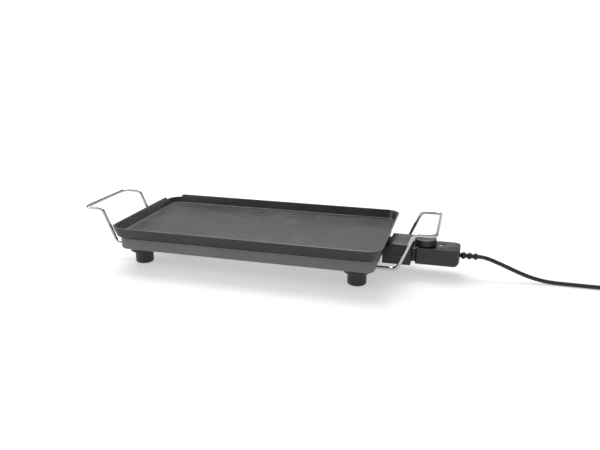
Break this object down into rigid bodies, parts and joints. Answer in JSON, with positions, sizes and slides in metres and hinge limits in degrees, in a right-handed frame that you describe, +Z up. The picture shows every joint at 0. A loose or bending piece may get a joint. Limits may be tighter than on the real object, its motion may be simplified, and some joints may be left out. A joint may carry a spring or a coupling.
{
  "type": "electric table griddle",
  "caption": "Rectangular electric table griddle: black cast plate with a pouring notch on a grey tray, wire handles, plug-in dial control and mains lead.",
  "frame": {"origin": "on the table, under the middle of the object's own box (griddle, handles and control, without the mains lead)", "axes": "+X along the length towards the control, +Y away from the user's side, +Z up from the table"},
  "size_m": [1.0585, 0.258, 0.0953],
  "materials": {
    "nonstick_cast": "cast aluminium under a black satin non-stick coat",
    "heater_steel": "oxidised steel sheath",
    "bright_steel": "zinc-plated or bright steel",
    "black_resin": "black heat-resistant resin, fine grain",
    "grey_paint": "dark grey stove paint, satin",
    "chrome_wire": "polished chrome plate",
    "foot_resin": "black heat-resistant resin, matt",
    "pad_rubber": "soft black rubber",
    "control_resin": "black resin, fine spark texture",
    "contact_brass": "bright brass",
    "switch_resin": "buff switch resin",
    "lamp_glass": "neon lamp glass",
    "lamp_lens": "clear amber window",
    "cord_rubber": "black rubber sheath, satin",
    "dial_resin": "black resin, satin gloss",
    "tie_plastic": "black hook-and-loop band",
    "plug_rubber": "moulded black rubber",
    "pin_nickel": "nickel-plated brass"
  },
  "bodies": {
    "griddle": {"griddle_plate": "nonstick_cast", "heating_element": "heater_steel", "terminal_pins": "bright_steel", "socket_housing": "black_resin", "socket_screws": "bright_steel", "base_tray": "grey_paint", "left_handle": "chrome_wire", "right_handle": "chrome_wire", "foot_front_left": "foot_resin", "foot_front_right": "foot_resin", "foot_back_left": "foot_resin", "foot_back_right": "foot_resin", "foot_pads": "pad_rubber", "foot_screws": "bright_steel", "spacers": "bright_steel"},
    "control": {"control_bottom": "control_resin", "control_top": "control_resin", "control_screws": "bright_steel", "probe_rod": "bright_steel", "contact_sleeves": "contact_brass", "switch_block": "switch_resin", "neon_lamp": "lamp_glass", "lamp_window": "lamp_lens", "strain_relief": "cord_rubber", "cord_clamp": "switch_resin", "cord_lead": "cord_rubber", "cord_coil": "cord_rubber", "cord_tie": "tie_plastic", "cord_tail": "cord_rubber", "plug_body": "plug_rubber", "plug_pins": "pin_nickel", "plug_earth_clips": "bright_steel"},
    "dial": {"dial": "dial_resin", "dial_shaft": "bright_steel"}
  },
  "joints": [
    {"name": "control_pull", "type": "slide", "parent": "griddle", "child": "control", "axis": [1, 0, 0], "range_m": [0, 0.115]},
    {"name": "dial_turn", "type": "hinge", "parent": "control", "child": "dial", "pos_m": [0.2925, 0, 0.0587], "axis": [0, 0, 1], "range_deg": [-270, 0]}
  ]
}
